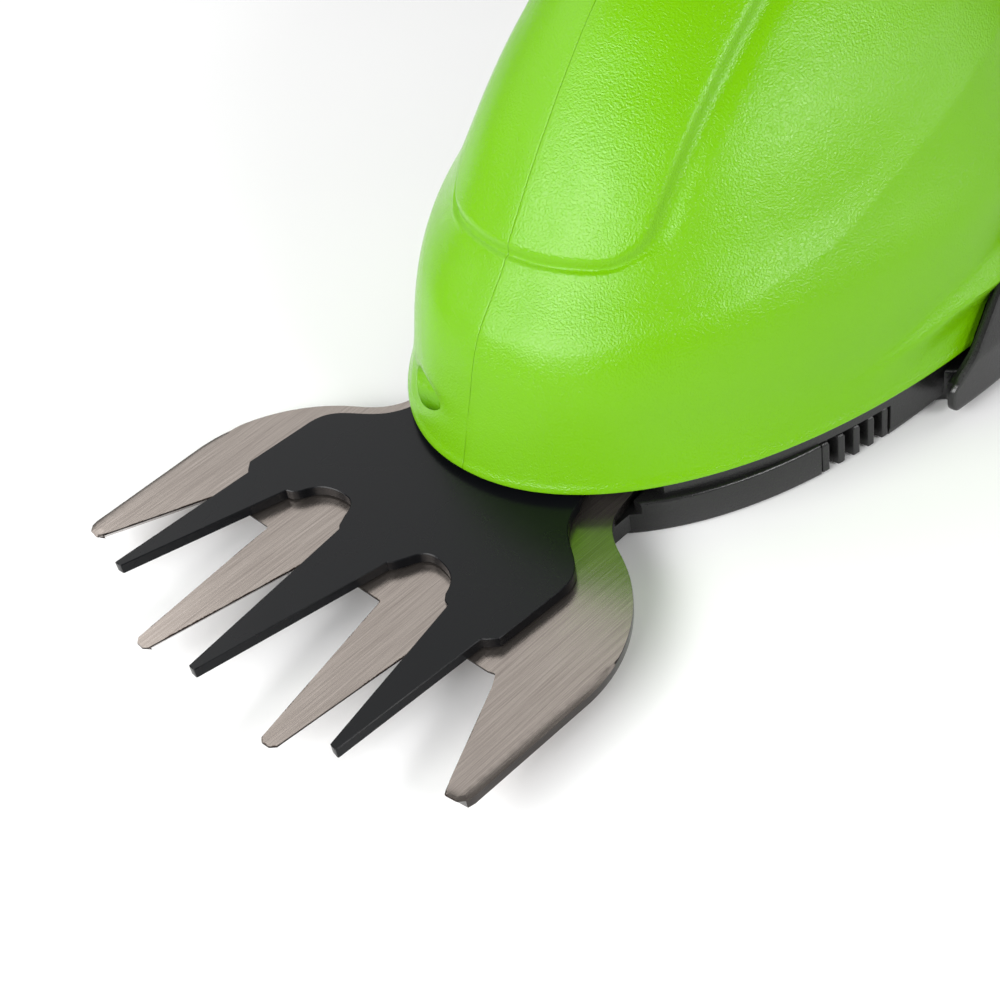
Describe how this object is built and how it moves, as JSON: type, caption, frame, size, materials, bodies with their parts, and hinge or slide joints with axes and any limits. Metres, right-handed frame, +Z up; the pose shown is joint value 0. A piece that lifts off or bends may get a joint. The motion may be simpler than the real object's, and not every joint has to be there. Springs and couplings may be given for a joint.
{
  "type": "cordless garden shears",
  "caption": "Palm-sized cordless grass shears: fixed and swinging toothed blades under an egg-shaped green housing with a black rear cowl and loop handle.",
  "frame": {"origin": "on the upper blade's pivot axis, on the flat underside that the shears stand on", "axes": "+Z up, -Y towards the blade tips, +X out of the side that the picture shows, to the left of someone who holds the handle; X = 0 is the parting plane"},
  "size_m": [0.113, 0.3299, 0.1043],
  "materials": {
    "green_shell": "fine pebbled moulding, lime green",
    "black_shell": "satin moulded black",
    "soft_grip": "soft-touch black",
    "ground_steel": "ground along the teeth",
    "coated_steel": "smooth low-friction black coating",
    "zinc_steel": "bright zinc plate",
    "gear_nylon": "natural nylon",
    "grey_plastic": "plain moulded grey",
    "cell_wrap": "shrink sleeve",
    "board_green": "solder resist",
    "lamp": "clear tinted lens",
    "wire_red": "soft insulation",
    "clutch_red": "satin moulded red"
  },
  "bodies": {
    "housing": {"nose_shell_left": "green_shell", "nose_shell_right": "green_shell", "rear_shell_left": "black_shell", "rear_shell_right": "black_shell", "grip_cover": "soft_grip", "heel_foot": "soft_grip", "base_pan": "black_shell", "lower_blade": "ground_steel", "pivot_bolt": "zinc_steel", "pivot_washer": "zinc_steel", "pivot_nut": "zinc_steel", "drive_deck": "grey_plastic", "gearbox_plate": "grey_plastic", "idler_axle": "zinc_steel", "motor_can": "zinc_steel", "motor_end_cap": "black_shell", "gearbox_screw_1": "zinc_steel", "gearbox_screw_2": "zinc_steel", "gearbox_screw_3": "zinc_steel", "gearbox_screw_4": "zinc_steel", "pan_screw_1": "zinc_steel", "pan_screw_2": "zinc_steel", "pan_screw_3": "zinc_steel", "pan_screw_4": "zinc_steel", "shell_screw_1": "zinc_steel", "shell_screw_2": "zinc_steel", "shell_screw_3": "zinc_steel", "shell_screw_4": "zinc_steel", "battery_cell_lower": "cell_wrap", "battery_cell_upper": "cell_wrap", "battery_cradle": "grey_plastic", "motor_wire_left": "wire_red", "motor_wire_right": "wire_red", "battery_wire_left": "wire_red", "battery_wire_right": "wire_red", "control_board": "board_green", "switch_body": "grey_plastic", "trigger_pin": "zinc_steel", "charge_socket": "black_shell", "charge_lamp": "lamp", "release_spring_left": "zinc_steel", "release_spring_right": "zinc_steel", "trigger_spring": "zinc_steel", "lock_spring": "zinc_steel"},
    "cutting_blade": {"upper_blade": "coated_steel", "drive_yoke": "zinc_steel", "yoke_screw_1": "zinc_steel", "yoke_screw_2": "zinc_steel"},
    "crank": {"crank_gear": "gear_nylon", "crank_shaft": "zinc_steel"},
    "idler": {"idler_gear": "gear_nylon"},
    "rotor": {"motor_pinion": "zinc_steel", "motor_shaft": "zinc_steel"},
    "left_release": {"release_button_left": "black_shell"},
    "right_release": {"release_button_right": "black_shell"},
    "trigger": {"trigger": "clutch_red"},
    "lock": {"lock_button": "clutch_red"}
  },
  "joints": [
    {"name": "crank_spin", "type": "hinge", "parent": "housing", "child": "crank", "pos_m": [0, 0.021, 0.02], "axis": [0, 0, 1], "continuous": true},
    {"name": "idler_spin", "type": "hinge", "parent": "housing", "child": "idler", "pos_m": [0, 0.041, 0.02], "axis": [0, 0, 1], "continuous": true},
    {"name": "rotor_spin", "type": "hinge", "parent": "housing", "child": "rotor", "pos_m": [0, 0.0615, 0.025], "axis": [0, 0, 1], "continuous": true},
    {"name": "blade_swing", "type": "hinge", "parent": "housing", "child": "cutting_blade", "pos_m": [0, 0, 0.0083], "axis": [0, 0, 1], "range_deg": [-5.17, 10.43]},
    {"name": "left_release_push", "type": "slide", "parent": "housing", "child": "left_release", "axis": [1, 0, 0], "range_m": [0, 0.0025], "stiffness_N_per_m": 600, "springref_m": -0.002, "deforming": ["release_spring_left"]},
    {"name": "right_release_push", "type": "slide", "parent": "housing", "child": "right_release", "axis": [-1, 0, 0], "range_m": [0, 0.0025], "stiffness_N_per_m": 600, "springref_m": -0.002, "deforming": ["release_spring_right"]},
    {"name": "trigger_pull", "type": "hinge", "parent": "housing", "child": "trigger", "pos_m": [0, 0.127, 0.077], "axis": [1, 0, 0], "range_deg": [0, 11], "stiffness_Nm_per_rad": 0.08, "springref_deg": -6.88, "deforming": ["trigger_spring"]},
    {"name": "lock_slide", "type": "slide", "parent": "housing", "child": "lock", "axis": [0, -1, 0], "range_m": [0, 0.004], "stiffness_N_per_m": 250, "springref_m": -0.002, "deforming": ["lock_spring"]}
  ],
  "couplings": [
    {"joint": "idler_spin", "follows": "crank_spin", "ratio": -3},
    {"joint": "rotor_spin", "follows": "crank_spin", "ratio": 10.667}
  ]
}
